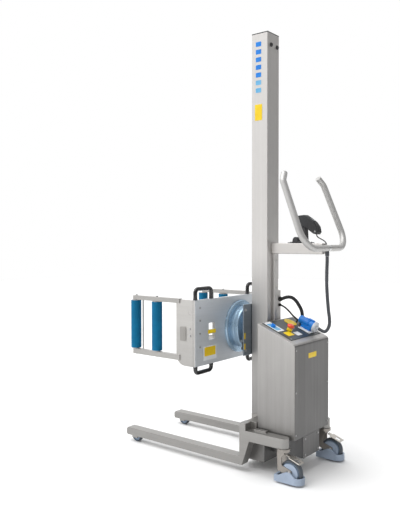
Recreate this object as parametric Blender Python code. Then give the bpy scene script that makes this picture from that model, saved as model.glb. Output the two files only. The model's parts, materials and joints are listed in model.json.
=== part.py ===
"""A mobile column lifter that grips, raises and turns an upright roll.

Frame: +Z is up, the load side faces -Y and the operator stands at +Y. +X is the machine's left.
The origin lies on the floor under the middle of the machine. All sizes are in metres.
"""

import math

import bmesh
import bpy
from mathutils import Matrix, Vector

# ---------------------------------------------------------------- driving dimensions

GAP = 0.0003                      # left between pieces that touch
FORE = 0.2297                     # moves the design, drawn around the mast, to the middle of its box
SIDE = -0.0845

LEG_X, LEG_WIDTH = 0.230, 0.060   # middle line and width of each leg
LEG_LOW, LEG_HIGH = 0.038, 0.085  # underside and top of the part that goes under a pallet
ARM_LOW, ARM_HIGH = 0.1777, 0.2315
BASE_TOP = 0.270
LEG_TIP = -0.870

MAST_X, MAST_Y, MAST_WALL = 0.0605, 0.0535, 0.005
MAST_TOP = 2.426
CAP_TOP = 2.432
SLOT_X = 0.018

STEM_Y = 0.262                    # swivel axis of the rear casters
CASTER_R, CASTER_Y = 0.0625, 0.312
FRONT_R, FRONT_Y = 0.0375, -0.800

CAB_X, CAB_FRONT, CAB_REAR = 0.190, 0.0735, 0.3055
CAB_LOW, CAB_HIGH = 0.2103, 0.8115
SLOPE = math.atan(0.4176)         # fall of the cabinet's top towards the operator

TURN_Z = 0.758                    # height of the turning axis at rest
PLATE_REAR, PLATE_FRONT = -0.1770, -0.1923
PLATE_LOW, PLATE_HIGH = 0.575, 0.940
PLATE_LEFT, PLATE_RIGHT = 0.4224, -0.2400
ARM_MID_X = (PLATE_LEFT + PLATE_RIGHT) / 2
RAIL_FRONT, RAIL_REAR = -0.642, -0.284
ROLLER_R, ROLLER_X = 0.030, 0.4090
ROLLER_YS = {"front": -0.634, "rear": -0.4685}
SCREW_Y, SCREW_Z = -0.2120, 0.870

PLUG_X, PLUG_HEIGHT = -0.108, 0.0405      # axis of the inlet and its plug, above the slope
HOSE_END = (-0.152, 0.158, 0.794)         # top of the gland where the hose enters the cabinet

BEAM_X, BEAM_LOW, BEAM_HIGH = 0.0225, 1.1893, 1.2487
BAR_R, BAR_Z, BAR_LEAN = 0.0175, 1.222, 0.397

for old in list(bpy.data.objects):
    bpy.data.objects.remove(old)


# ---------------------------------------------------------------- materials

def make_material(name, colour, roughness, metallic):
    material = bpy.data.materials.new(name)
    material.use_nodes = True
    shader = material.node_tree.nodes["Principled BSDF"]
    shader.inputs["Base Color"].default_value = (*colour, 1.0)
    shader.inputs["Roughness"].default_value = roughness
    shader.inputs["Metallic"].default_value = metallic
    return material


STEEL = make_material("brushed_stainless", (0.62, 0.60, 0.57), 0.38, 1.0)
BRIGHT = make_material("machined_steel", (0.70, 0.72, 0.75), 0.25, 1.0)
BLACK = make_material("black_plastic", (0.02, 0.02, 0.022), 0.45, 0.0)
PANEL = make_material("panel_laminate", (0.05, 0.055, 0.06), 0.5, 0.0)
TEAL = make_material("teal_sleeve", (0.0, 0.20, 0.30), 0.6, 0.0)
GREY = make_material("grey_guard", (0.30, 0.36, 0.46), 0.5, 0.0)
TREAD = make_material("dark_tread", (0.06, 0.07, 0.08), 0.7, 0.0)
BLUE = make_material("blue_inlet", (0.0, 0.19, 0.60), 0.4, 0.0)
PALE = make_material("pale_plastic", (0.55, 0.58, 0.62), 0.45, 0.0)
YELLOW = make_material("yellow_collar", (0.80, 0.60, 0.0), 0.4, 0.0)
RED = make_material("red_button", (0.70, 0.05, 0.02), 0.35, 0.0)
HOSE = make_material("black_hose", (0.02, 0.02, 0.02), 0.6, 0.0)
CONDUIT = make_material("grey_conduit", (0.07, 0.075, 0.085), 0.6, 0.0)
IRON = make_material("painted_motor", (0.10, 0.11, 0.12), 0.5, 0.3)


# ---------------------------------------------------------------- shape helpers

def shift(point):
    """From coordinates around the mast to the object's own frame."""
    return Vector((point[0] + SIDE, point[1] + FORE, point[2]))


def place(name, mesh_data, material, pivot=(0, 0, 0), smooth=False):
    """Makes an object whose origin is the pivot, from a bmesh drawn around the mast."""
    for vertex in mesh_data.verts:
        vertex.co -= Vector(pivot)
    bmesh.ops.recalc_face_normals(mesh_data, faces=mesh_data.faces)
    mesh = bpy.data.meshes.new(name)
    mesh_data.to_mesh(mesh)
    mesh_data.free()
    mesh.materials.append(material)
    if smooth:
        mesh.shade_smooth()
        mesh.set_sharp_from_angle(angle=math.radians(40))
    obj = bpy.data.objects.new(name, mesh)
    obj.location = shift(pivot)
    bpy.context.scene.collection.objects.link(obj)
    return obj


def box_data(low, high, bevel=0.0, steps=1):
    data = bmesh.new()
    size = [abs(b - a) for a, b in zip(low, high)]
    middle = [(a + b) / 2 for a, b in zip(low, high)]
    matrix = Matrix.Translation(middle) @ Matrix.Diagonal((*size, 1.0))
    bmesh.ops.create_cube(data, size=1.0, matrix=matrix)
    if bevel:
        bmesh.ops.bevel(data, geom=data.edges[:], offset=bevel, segments=steps,
                        affect="EDGES", profile=0.5)
    return data


def box(name, low, high, material, bevel=0.0, steps=1, pivot=(0, 0, 0)):
    return place(name, box_data(low, high, bevel, steps), material, pivot)


def prism_data(outline, axis, start, end, rounds=()):
    """An outline of two coordinates pushed along an axis. rounds: (test, radius, steps) for its long edges."""
    data = bmesh.new()
    others = [i for i in range(3) if i != axis]

    def point(pair, along):
        place_of = [0.0, 0.0, 0.0]
        place_of[others[0]], place_of[others[1]] = pair
        place_of[axis] = along
        return place_of

    base = [data.verts.new(point(pair, start)) for pair in outline]
    face = data.faces.new(base)
    pushed = bmesh.ops.extrude_face_region(data, geom=[face])
    for vertex in [v for v in pushed["geom"] if isinstance(v, bmesh.types.BMVert)]:
        vertex.co[axis] = end
    for test, radius, steps in rounds:
        edges = [e for e in data.edges
                 if abs(e.verts[0].co[axis] - e.verts[1].co[axis]) > 1e-6
                 and test(e.verts[0].co)]
        bmesh.ops.bevel(data, geom=edges, offset=radius, segments=steps,
                        affect="EDGES", profile=0.5)
    return data


def turned_data(profile, axis, centre, sides):
    """A closed profile of (radius, distance along the axis) turned about the axis through centre."""
    data = bmesh.new()
    rings = []
    others = [i for i in range(3) if i != axis]
    for step in range(sides):
        angle = 2 * math.pi * step / sides
        ring = []
        for radius, along in profile:
            co = Vector(centre)
            co[axis] += along
            co[others[0]] += radius * math.cos(angle)
            co[others[1]] += radius * math.sin(angle)
            ring.append(data.verts.new(co))
        rings.append(ring)
    count = len(profile)
    for step in range(sides):
        one, two = rings[step], rings[(step + 1) % sides]
        for i in range(count):
            j = (i + 1) % count
            data.faces.new((one[i], one[j], two[j], two[i]))
    bmesh.ops.remove_doubles(data, verts=data.verts[:], dist=1e-6)
    return data


def rod_data(radius, axis, centre, start, end, sides=16, bore=0.0):
    """A round bar between two distances along the axis, or a ring when it has a bore."""
    profile = [(bore, start), (radius, start), (radius, end), (bore, end)]
    return turned_data(profile, axis, centre, sides)


def rod(name, radius, axis, centre, start, end, material, sides=16, bore=0.0, pivot=(0, 0, 0)):
    data = rod_data(radius, axis, centre, start, end, sides, bore)
    return place(name, data, material, pivot, smooth=True)


def combine(target, data, operation):
    """Adds or cuts a bmesh drawn around the mast, with an exact Boolean."""
    helper = place(target.name + "_helper", data, STEEL)
    helper.hide_render = True
    helper.display_type = "WIRE"
    modifier = target.modifiers.new(operation.lower(), "BOOLEAN")
    modifier.operation = operation
    modifier.object = helper


def add(target, data):
    combine(target, data, "UNION")


def cut(target, data):
    combine(target, data, "DIFFERENCE")


def rounded_path(corners, radii, steps=5):
    """The corners of a bent tube joined by straights, each inner corner turned by an arc."""
    points = [Vector(corners[0])]
    for before, corner, after, radius in zip(corners, corners[1:], corners[2:], radii):
        corner = Vector(corner)
        back = (Vector(before) - corner).normalized()
        onward = (Vector(after) - corner).normalized()
        half = back.angle(onward) / 2
        middle = (back + onward).normalized()
        centre = corner + middle * (radius / math.sin(half))
        start = corner + back * (radius / math.tan(half))
        end = corner + onward * (radius / math.tan(half))
        from_centre, to_centre = start - centre, end - centre
        turn = from_centre.angle(to_centre)
        for step in range(steps + 1):
            share = step / steps
            a = math.sin((1 - share) * turn) / math.sin(turn)
            b = math.sin(share * turn) / math.sin(turn)
            points.append(centre + from_centre * a + to_centre * b)
    points.append(Vector(corners[-1]))
    return points


def tube(name, points, radius, material, resolution=2):
    """A curve with a round bevel and filled caps, through points drawn around the mast."""
    curve = bpy.data.curves.new(name, "CURVE")
    curve.dimensions = "3D"
    curve.bevel_depth = radius
    curve.bevel_resolution = resolution
    curve.use_fill_caps = True
    spline = curve.splines.new("POLY")
    spline.points.add(len(points) - 1)
    for slot, point in zip(spline.points, points):
        slot.co = (*shift(point), 1.0)
    curve.materials.append(material)
    obj = bpy.data.objects.new(name, curve)
    bpy.context.scene.collection.objects.link(obj)
    return obj


def smooth_route(route, spacing):
    """Points at an even spacing along a smooth curve through the route's own points."""
    route = [Vector(point) for point in route]
    ends = [2 * route[0] - route[1]] + route + [2 * route[-1] - route[-2]]
    fine = []
    for a, b, c, d in zip(ends, ends[1:], ends[2:], ends[3:]):
        for step in range(20):
            t = step / 20
            fine.append(0.5 * (2 * b + (c - a) * t + (2 * a - 5 * b + 4 * c - d) * t ** 2
                               + (3 * b - a - 3 * c + d) * t ** 3))
    fine.append(route[-1])
    total = sum((q - p).length for p, q in zip(fine, fine[1:]))
    count = max(2, round(total / spacing))
    points, walked, wanted = [fine[0]], 0.0, total / count
    for p, q in zip(fine, fine[1:]):
        length = (q - p).length
        while walked + length >= wanted * len(points) and len(points) < count:
            points.append(p.lerp(q, (wanted * len(points) - walked) / length))
        walked += length
    return points + [fine[-1]]


def cord(name, route, diameter, material):
    """The first and last stretch stay straight, square to the face that the cord leaves or meets."""
    middle = smooth_route(route[1:-1], 2 * diameter)
    return tube(name, [route[0], *middle, route[-1]], diameter / 2, material)


# ---------------------------------------------------------------- base, legs and wheels

def make_base():
    foot_x, foot_front, cross_front, cross_rear = 0.0605, -0.0535, 0.005, 0.073
    side = LEG_X - LEG_WIDTH / 2 - GAP
    outline = [(-side, cross_front), (-foot_x, cross_front), (-foot_x, foot_front),
               (foot_x, foot_front), (foot_x, cross_front), (side, cross_front),
               (side, cross_rear), (-side, cross_rear)]
    place("crossbeam", prism_data(outline, 2, ARM_LOW + GAP, BASE_TOP), STEEL)
    box("ballast_box", (-0.165, -0.060, 0.043), (0.165, 0.101, ARM_LOW), STEEL, 0.003)
    box("drive_box", (-0.0885, 0.1015, 0.089), (0.0885, 0.303, 0.2093), STEEL, 0.002)


def make_leg(name, side):
    inner = side * (LEG_X - LEG_WIDTH / 2)
    outer = side * (LEG_X + LEG_WIDTH / 2)
    arm_end, riser_back, step_y = STEM_Y + LEG_WIDTH / 2, 0.064, 0.040
    outline = [(LEG_TIP, LEG_LOW + 0.008), (LEG_TIP, LEG_HIGH - 0.012), (LEG_TIP + 0.012, LEG_HIGH),
               (0.0, LEG_HIGH), (0.0, BASE_TOP), (step_y, BASE_TOP), (step_y, ARM_HIGH),
               (arm_end, ARM_HIGH), (arm_end, ARM_LOW), (riser_back, ARM_LOW),
               (0.016, LEG_LOW), (LEG_TIP + 0.008, LEG_LOW)]
    data = prism_data(outline, 0, inner, outer)
    rear = [e for e in data.edges
            if all(abs(v.co.y - arm_end) < 1e-6 for v in e.verts)
            and abs(e.verts[0].co.z - e.verts[1].co.z) > 1e-6]
    bmesh.ops.bevel(data, geom=rear, offset=LEG_WIDTH / 2 - GAP, segments=6,
                    affect="EDGES", profile=0.5)
    leg = place(name, data, STEEL)
    boss = sorted((inner, inner + side * 0.028))
    add(leg, box_data((boss[0], 0.075, 0.225), (boss[1], 0.150, 0.240)))
    slot_half, slot_room = 0.020, FRONT_R + 0.007
    middle = side * LEG_X
    cut(leg, box_data((middle - slot_half, FRONT_Y - slot_room, 0.0),
                      (middle + slot_half, FRONT_Y + slot_room, FRONT_R * 2 + 0.003)))
    for low, high in ((-0.0300, -slot_half), (slot_half, 0.0300)):
        add(leg, box_data((middle + low, FRONT_Y - 0.022, 0.027), (middle + high, FRONT_Y + 0.022, 0.050)))
    add(leg, rod_data(0.006, 0, (middle, FRONT_Y, FRONT_R), -0.025, 0.025, 12))


def make_front_wheel(name, side):
    centre = (side * LEG_X, FRONT_Y, FRONT_R)
    profile = [(0.0068, -0.014), (FRONT_R - 0.004, -0.014), (FRONT_R, -0.010),
               (FRONT_R, 0.010), (FRONT_R - 0.004, 0.014), (0.0068, 0.014)]
    place(name, turned_data(profile, 0, centre, 24), TREAD, centre, smooth=True)


def make_caster(side, label):
    x = side * LEG_X
    stem = (x, STEM_Y, 0.0)
    hub = (x, CASTER_Y, CASTER_R)
    # The fork: a swivel flange, a crown and two cheeks that hold the axle.
    fork = place(label + "_caster_fork", rod_data(0.036, 2, stem, 0.163, ARM_LOW - GAP, 20),
                 BRIGHT, stem, smooth=True)
    add(fork, box_data((x - 0.0265, STEM_Y - 0.024, 0.150), (x + 0.0265, STEM_Y + 0.018, 0.164)))
    cheek = [(-0.024, 0.160), (0.020, 0.160), (0.004, 0.135), (0.004, 0.095),
             (0.062, 0.076), (0.064, 0.054), (0.034, 0.048), (-0.020, 0.066)]
    cheek = [(STEM_Y + dy, z) for dy, z in cheek]
    for inner, outer in ((-0.0265, -0.0225), (0.0225, 0.0265)):
        add(fork, prism_data(cheek, 0, x + inner, x + outer))
    cut(fork, rod_data(0.0056, 0, hub, -0.04, 0.04, 12))
    profile = [(0.0060, -0.019), (0.030, -0.019), (0.046, -0.011), (0.050, -0.016),
               (0.058, -0.016), (CASTER_R, -0.009), (CASTER_R, 0.009), (0.058, 0.016),
               (0.050, 0.016), (0.046, 0.011), (0.030, 0.019), (0.0060, 0.019)]
    place(label + "_caster_wheel", turned_data(profile, 0, hub, 28), TREAD, hub, smooth=True)
    rod(label + "_caster_axle", 0.0050, 0, hub, -0.031, 0.031, BRIGHT, 12, pivot=stem)
    # The brake pedal: a slotted steel plate that hangs back over the wheel.
    hinge = (x, 0.288, 0.149)
    fall = math.radians(20)
    pedal = place(label + "_brake_pedal",
                  box_data((x - 0.012, 0.0, -0.004), (x + 0.012, 0.030, 0.0)), BRIGHT)
    pedal_plate = box_data((x - 0.026, 0.020, -0.004), (x + 0.026, 0.090, 0.0), 0.0015)
    slot = box_data((x - 0.013, 0.048, -0.010), (x + 0.013, 0.078, 0.010))
    tilt = Matrix.Translation((0, hinge[1], hinge[2])) @ Matrix.Rotation(-fall, 4, "X")
    bmesh.ops.transform(pedal_plate, matrix=tilt, verts=pedal_plate.verts)
    bmesh.ops.transform(slot, matrix=tilt, verts=slot.verts)
    to_hinge = Matrix.Translation([-c for c in hinge]) @ tilt
    pedal.data.transform(to_hinge)
    pedal.location = shift(hinge)
    add(pedal, pedal_plate)
    cut(pedal, slot)
    # The toe guard: a ring close to the floor with a peak up to the axle on each side.
    back_round = 0.344

    def stadium(half, front):
        arc = [(x + half * math.cos(a), back_round + half * math.sin(a))
               for a in (math.pi * i / 12 for i in range(13))]
        return arc + [(x - half, front), (x + half, front)]

    guard = place(label + "_toe_guard", prism_data(stadium(0.040, 0.228), 2, 0.010, 0.044),
                  GREY, stem)
    peak = [(0.250, 0.020), (0.352, 0.020), (0.352, 0.043), (0.324, 0.068), (0.298, 0.068), (0.250, 0.043)]
    add(guard, prism_data(peak, 0, x - 0.0399, x + 0.0399))
    cut(guard, prism_data(stadium(0.032, 0.240), 2, 0.0, 0.1))


# ---------------------------------------------------------------- mast and lift

def make_mast():
    inner_x, inner_y = MAST_X - MAST_WALL, MAST_Y - MAST_WALL
    outline = [(SLOT_X, -MAST_Y), (MAST_X, -MAST_Y), (MAST_X, MAST_Y), (-MAST_X, MAST_Y),
               (-MAST_X, -MAST_Y), (-SLOT_X, -MAST_Y), (-SLOT_X, -inner_y), (-inner_x, -inner_y),
               (-inner_x, inner_y), (inner_x, inner_y), (inner_x, -inner_y), (SLOT_X, -inner_y)]
    corner = (lambda co: abs(co.x) > MAST_X - 1e-6 and abs(co.y) > MAST_Y - 1e-6, 0.0045, 3)
    place("mast_column", prism_data(outline, 2, BASE_TOP + GAP, MAST_TOP, [corner]), STEEL)
    box("mast_cap", (-MAST_X, -MAST_Y, MAST_TOP + GAP), (MAST_X, MAST_Y, CAP_TOP), BLACK, 0.0015)
    rod("lift_motor", 0.040, 2, (0, 0, 0), BASE_TOP + 0.0006, 0.372, IRON, 20)
    rod("lift_screw", 0.010, 2, (0, 0, 0), 0.3723, 2.400, BRIGHT, 12)
    box("rear_duct", (-0.0235, MAST_Y + GAP, 0.450), (0.012, 0.070, BEAM_LOW - GAP), STEEL, 0.002)
    box("side_junction", (-0.0908, -0.010, 0.794), (-MAST_X - GAP, 0.050, 0.976), STEEL, 0.002)


def make_carriage():
    back, front, half = -0.0545, -0.0625, 0.137
    carriage = box("carriage", (-half, front, 0.610), (half, back, 0.901), STEEL, 0.0015,
                   pivot=(0, back, TURN_Z))
    add(carriage, box_data((-0.0150, back - 0.004, 0.700), (0.0150, -0.045, 0.816)))
    add(carriage, box_data((-0.050, -0.048, 0.698), (0.050, 0.030, 0.818)))
    cut(carriage, rod_data(0.0125, 2, (0, 0, 0), 0.600, 0.900, 16))
    lug_x, lug_y = 0.100, -0.086
    add(carriage, box_data((lug_x - 0.014, lug_y - 0.012, 0.682), (lug_x + 0.014, front + 0.002, 0.696)))
    rod("lock_plunger", 0.0095, 2, (lug_x, lug_y, 0), 0.636, 0.6815, BLACK, 16,
        pivot=(lug_x, lug_y, 0.66))
    axis = (0, 0, TURN_Z)
    profile = [(0.0, -0.0628), (0.075, -0.0628), (0.075, -0.1070), (0.117, -0.1070),
               (0.123, -0.1110), (0.123, -0.1597), (0.0, -0.1597)]
    place("turn_housing", turned_data(profile, 1, axis, 36), BRIGHT, axis, smooth=True)
    flange = [(0.0, -0.1600), (0.149, -0.1600), (0.154, -0.1640), (0.154, PLATE_REAR + GAP),
              (0.0, PLATE_REAR + GAP)]
    place("turn_flange", turned_data(flange, 1, axis, 36), BRIGHT, axis, smooth=True)


# ---------------------------------------------------------------- clamp

def make_clamp_plate():
    plate = box("clamp_plate", (PLATE_RIGHT, PLATE_FRONT, PLATE_LOW), (PLATE_LEFT, PLATE_REAR, PLATE_HIGH),
                STEEL, 0.0015, pivot=(0, 0, TURN_Z))
    for low, high in ((0.711, 0.744), (0.768, 0.805)):
        cut(plate, box_data((0.246, -0.21, low), (0.301, -0.16, high)))


def make_grab_handle(name, middle_x, foot_z, reach):
    half, tube_r, y = 0.070, 0.0115, -0.1846
    top = foot_z + reach
    corners = [(middle_x - half, y, foot_z), (middle_x - half, y, top),
               (middle_x + half, y, top), (middle_x + half, y, foot_z)]
    tube(name, rounded_path(corners, (0.022, 0.022)), tube_r, BLACK, 3)


def make_arm(name, mirrored):
    """A side plate with two rails and a tie bar, drawn on the left and mirrored for the right."""
    def across(a, b):
        if mirrored:
            a, b = 2 * ARM_MID_X - a, 2 * ARM_MID_X - b
        return min(a, b), max(a, b)

    plate_front, back = -0.312, PLATE_FRONT - GAP
    outline = [(plate_front, PLATE_LOW), (back, PLATE_LOW), (back, PLATE_HIGH), (plate_front, PLATE_HIGH)]
    corner = (lambda co: co.y < plate_front + 1e-6 and co.z < PLATE_LOW + 1e-6, 0.058, 5)
    low, high = across(PLATE_LEFT - 0.012, PLATE_LEFT)
    arm = place(name, prism_data(outline, 0, low, high, [corner]), STEEL,
                ((low + high) / 2, back, TURN_Z))
    rail_low, rail_high = across(PLATE_LEFT - 0.018, PLATE_LEFT + 0.006)
    for bottom, top in ((0.919, 0.944), (0.603, 0.633)):
        add(arm, box_data((rail_low, RAIL_FRONT, bottom), (rail_high, RAIL_REAR, top)))
    bar_low, bar_high = across(PLATE_LEFT - 0.002, PLATE_LEFT + 0.004)
    add(arm, box_data((bar_low, -0.568, 0.630), (bar_high, -0.559, 0.922)))
    if not mirrored:
        cut(arm, rod_data(0.0115, 0, (PLATE_LEFT, SCREW_Y, SCREW_Z), -0.05, 0.05, 16))


def make_rollers(side, mirrored):
    x = 2 * ARM_MID_X - ROLLER_X if mirrored else ROLLER_X
    for place_name, y in ROLLER_YS.items():
        rod(f"{side}_{place_name}_roller", ROLLER_R, 2, (x, y, 0), 0.6336, 0.9184, TEAL, 24, pivot=(x, y, 0.78))


def make_squeeze_drive():
    centre = (0, SCREW_Y, SCREW_Z)
    rod("squeeze_screw", 0.0090, 0, centre, -0.2276, 0.4215, BRIGHT, 12, pivot=centre)
    box("squeeze_motor", (-0.200, -0.262, 0.742), (-0.060, PLATE_FRONT - GAP, 0.842), IRON, 0.006, 2,
        pivot=(0, 0, TURN_Z))


# ---------------------------------------------------------------- cabinet and panel

def on_slope(data, x=0.0, along=0.0, height=0.0):
    """Lays a bmesh drawn in (x, distance down the slope, height above it) on the cabinet's top."""
    matrix = (Matrix.Translation((0, CAB_FRONT, CAB_HIGH)) @ Matrix.Rotation(-SLOPE, 4, "X")
              @ Matrix.Translation((x, along, height)))
    bmesh.ops.transform(data, matrix=matrix, verts=data.verts)
    return data


def slope_point(x, along, height):
    down, up = Vector((math.cos(SLOPE), -math.sin(SLOPE))), Vector((math.sin(SLOPE), math.cos(SLOPE)))
    y, z = Vector((CAB_FRONT, CAB_HIGH)) + along * down + height * up
    return x, y, z


def make_cabinet():
    wall, bend = 0.003, 0.014
    top_rear = CAB_HIGH - (CAB_REAR - CAB_FRONT) * math.tan(SLOPE)
    outline = [(CAB_FRONT, CAB_LOW), (CAB_REAR, CAB_LOW), (CAB_REAR, top_rear), (CAB_FRONT, CAB_HIGH)]
    bend_edge = (lambda co: co.y > CAB_REAR - 1e-6 and co.z > 0.5, bend, 5)
    shell = place("cabinet_shell", prism_data(outline, 0, -CAB_X, CAB_X, [bend_edge]), STEEL)
    inner_rear = CAB_REAR - wall
    lift = wall / math.cos(SLOPE)
    inner_high = CAB_HIGH - wall * math.tan(SLOPE) - lift
    inner = [(CAB_FRONT + wall, 0.15), (inner_rear, 0.15),
             (inner_rear, CAB_HIGH - (inner_rear - CAB_FRONT) * math.tan(SLOPE) - lift),
             (CAB_FRONT + wall, inner_high)]
    inner_edge = (lambda co: co.y > inner_rear - 1e-6 and co.z > 0.5, bend - wall, 5)
    cut(shell, prism_data(inner, 0, -CAB_X + wall, CAB_X - wall, [inner_edge]))
    box("cabinet_floor", (-CAB_X + 0.0036, 0.0775, 0.2096), (CAB_X - 0.0036, 0.3015, 0.2126), STEEL)
    box("battery_pack", (-0.150, 0.090, 0.2130), (0.150, 0.280, 0.400), BLACK, 0.004)


def make_panel():
    place("control_panel", on_slope(box_data((-0.170, 0.008, GAP), (0.155, 0.207, 0.0030))), PANEL)
    base = 0.0033
    stop_x, stop_along = 0.048, 0.122
    collar = rod_data(0.0150, 2, (0, 0, 0), base, 0.018, 20)
    place("stop_collar", on_slope(collar, stop_x, stop_along), YELLOW, smooth=True)
    profile = [(0.0, 0.024), (0.018, 0.024), (0.0205, 0.030), (0.018, 0.038), (0.0, 0.041)]
    place("stop_button", on_slope(turned_data(profile, 2, (0, 0, 0), 20), stop_x, stop_along), RED,
          slope_point(stop_x, stop_along, 0.024), smooth=True)
    key_x, key_along = 0.128, 0.062
    knob = rod_data(0.0130, 2, (0, 0, 0), base, 0.022, 16)
    place("main_switch", on_slope(knob, key_x, key_along), BLUE,
          slope_point(key_x, key_along, base), smooth=True)
    plug_x, axis_height = PLUG_X, PLUG_HEIGHT
    inlet = place("inlet_socket", on_slope(box_data((-0.046, 0.112, base), (0.046, 0.190, 0.008)), plug_x),
                  BLUE)
    add(inlet, on_slope(box_data((-0.022, 0.112, 0.005), (0.022, 0.172, 0.030)), plug_x))
    add(inlet, on_slope(rod_data(0.0265, 1, (0, 0, axis_height), 0.085, 0.182, 20), plug_x))
    profile = [(0.0, 0.1823), (0.030, 0.1823), (0.031, 0.188), (0.028, 0.199), (0.0115, 0.201),
               (0.0115, 0.213), (0.0, 0.213)]
    place("cable_plug", on_slope(turned_data(profile, 1, (0, 0, axis_height), 20), plug_x), PALE,
          smooth=True)
    gland = rod_data(0.0150, 2, (HOSE_END[0], HOSE_END[1], 0.0), 0.0, HOSE_END[2], 16)
    for vertex in gland.verts:
        if vertex.co.z < HOSE_END[2] / 2:
            vertex.co.z = CAB_HIGH - (vertex.co.y - CAB_FRONT) * math.tan(SLOPE) + base / math.cos(SLOPE)
    place("hose_gland", gland, BLACK)


# ---------------------------------------------------------------- handle and pendant

def bar_y(z):
    """The handlebar lies in one plane that leans towards the mast as it rises."""
    return 0.351 - BAR_LEAN * (z - 1.33)


def make_handle():
    box("handle_beam", (-BEAM_X, MAST_Y + GAP, BEAM_LOW), (BEAM_X, bar_y(BAR_Z) - BAR_R - GAP, BEAM_HIGH),
        STEEL, 0.003)
    tip_z, bend_z = 1.618, 1.577
    corners = [(0.186, bar_y(tip_z), tip_z), (0.2260, bar_y(bend_z), bend_z),
               (0.2440, bar_y(BAR_Z), BAR_Z)]
    mirrored = [(-x, y, z) for x, y, z in reversed(corners)]
    tube("handlebar", rounded_path(corners + mirrored, (0.030, 0.105, 0.105, 0.030)), BAR_R, STEEL, 3)
    holder = [(0.157, BEAM_HIGH + GAP), (0.307, BEAM_HIGH + GAP), (0.307, 1.253), (0.272, 1.256),
              (0.268, 1.3370), (0.238, 1.3370), (0.236, 1.257), (0.2240, 1.257), (0.2185, 1.2735),
              (0.2115, 1.2815), (0.2045, 1.2835), (0.1975, 1.2815), (0.1905, 1.2735), (0.1850, 1.253),
              (0.157, 1.253)]
    place("pendant_holder", prism_data(holder, 0, -0.017, 0.017), BLACK)
    grip = [(0.220, 1.399), (0.212, 1.384), (0.216, 1.362), (0.238, 1.3373), (0.270, 1.3373),
            (0.297, 1.3160), (0.320, 1.3000), (0.338, 1.2960), (0.347, 1.308), (0.341, 1.338),
            (0.323, 1.3620), (0.286, 1.3880), (0.264, 1.403)]
    side_edge = (0.004, 2)
    data = prism_data(grip, 0, -0.026, 0.026)
    rims = [e for e in data.edges if abs(e.verts[0].co.x - e.verts[1].co.x) < 1e-6]
    bmesh.ops.bevel(data, geom=rims, offset=side_edge[0], segments=side_edge[1],
                    affect="EDGES", profile=0.5)
    pendant = place("pendant", data, BLACK)
    hinge = (0.0, 0.3045, 1.375)
    lean = math.atan2(1.3620 - 1.3880, 0.323 - 0.286)
    pocket = box_data((-0.012, -0.020, -0.012), (0.012, 0.020, 0.020))
    spin = Matrix.Translation(hinge) @ Matrix.Rotation(lean, 4, "X")
    bmesh.ops.transform(pocket, matrix=spin, verts=pocket.verts)
    cut(pendant, pocket)
    rocker = prism_data([(-0.017, -0.006), (0.017, -0.006), (0.017, 0.005), (0.0, 0.003), (-0.017, 0.005)],
                        0, -0.0105, 0.0105)
    bmesh.ops.transform(rocker, matrix=spin, verts=rocker.verts)
    place("pendant_rocker", rocker, PALE, hinge)
    rod("handle_gland", 0.0110, 2, (0, 0.392, 0), 1.1800, BAR_Z - BAR_R - GAP, BLACK, 16)


# ---------------------------------------------------------------- cords

def make_cords():
    cord("pendant_cable", [(0.0, 0.3290, 1.2960), (0.0, 0.3296, 1.2895), (0.0, 0.3360, 1.2820),
                           (0.0, 0.3480, 1.2750), (0.0, 0.3610, 1.2685), (0.0, 0.3730, 1.2620),
                           (0.0, 0.3830, 1.2535), (0.0, 0.3885, 1.2420)], 0.006, HOSE)
    plug_run = [slope_point(PLUG_X, along, PLUG_HEIGHT) for along in (0.2400, 0.2270, 0.2145)]
    cord("handle_conduit", [(0.0, 0.392, 1.1790), (0.0, 0.392, 1.150), (-0.006, 0.387, 1.090),
                            (-0.018, 0.381, 1.020), (-0.040, 0.374, 0.950), (-0.064, 0.368, 0.884),
                            (-0.084, 0.364, 0.835), (-0.096, 0.358, 0.800), (-0.104, 0.344, 0.772),
                            (-0.107, 0.327, 0.756), *plug_run], 0.019, CONDUIT)
    hose_run = [(HOSE_END[0], HOSE_END[1], HOSE_END[2] + rise) for rise in (0.030, 0.0006)]
    cord("mast_hose", [(-0.0780, 0.0506, 0.9240), (-0.0780, 0.0620, 0.9245), (-0.0900, 0.0800, 0.9330),
                       (-0.1030, 0.0930, 0.9360), (-0.1170, 0.1090, 0.9320), (-0.1310, 0.1270, 0.9140),
                       (-0.1410, 0.1410, 0.8880), (-0.1490, 0.1540, 0.8570), *hose_run], 0.020, HOSE)
    signal_run = [slope_point(-0.128, 0.063, height) for height in (0.0200, 0.0042)]
    cord("signal_cable", [(-0.0740, 0.0504, 0.8900), (-0.0745, 0.0580, 0.8898), (-0.0790, 0.0680, 0.8850),
                          (-0.0880, 0.0840, 0.8730), (-0.1000, 0.1030, 0.8510), (-0.1120, 0.1180, 0.8290),
                          *signal_run], 0.010, HOSE)


# ---------------------------------------------------------------- build

make_base()
for word, sign in (("left", 1), ("right", -1)):
    make_leg(word + "_leg", sign)
    make_front_wheel(word + "_front_wheel", sign)
    make_caster(sign, word)
make_mast()
make_carriage()
make_clamp_plate()
for word, middle_x in (("left", 0.341), ("right", -0.159)):
    make_grab_handle(word + "_upper_handle", middle_x, PLATE_HIGH + GAP, 0.0595)
    make_grab_handle(word + "_lower_handle", middle_x, PLATE_LOW - GAP, -0.0345)
make_arm("left_arm", False)
make_arm("right_arm", True)
make_rollers("left", False)
make_rollers("right", True)
make_squeeze_drive()
make_cabinet()
make_panel()
make_handle()
make_cords()
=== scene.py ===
"""The looks of a mobile column lifter: materials, fine parts, labels, hoses, floor, light and camera.

Everything is drawn around the mast's middle line, as the design is, and moved by at() to the object's frame.
-Y faces the load, +Y the operator and +X is the machine's left. All sizes are in metres.
"""

import json
import math

import bmesh
import bpy
from mathutils import Matrix, Quaternion, Vector

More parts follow.
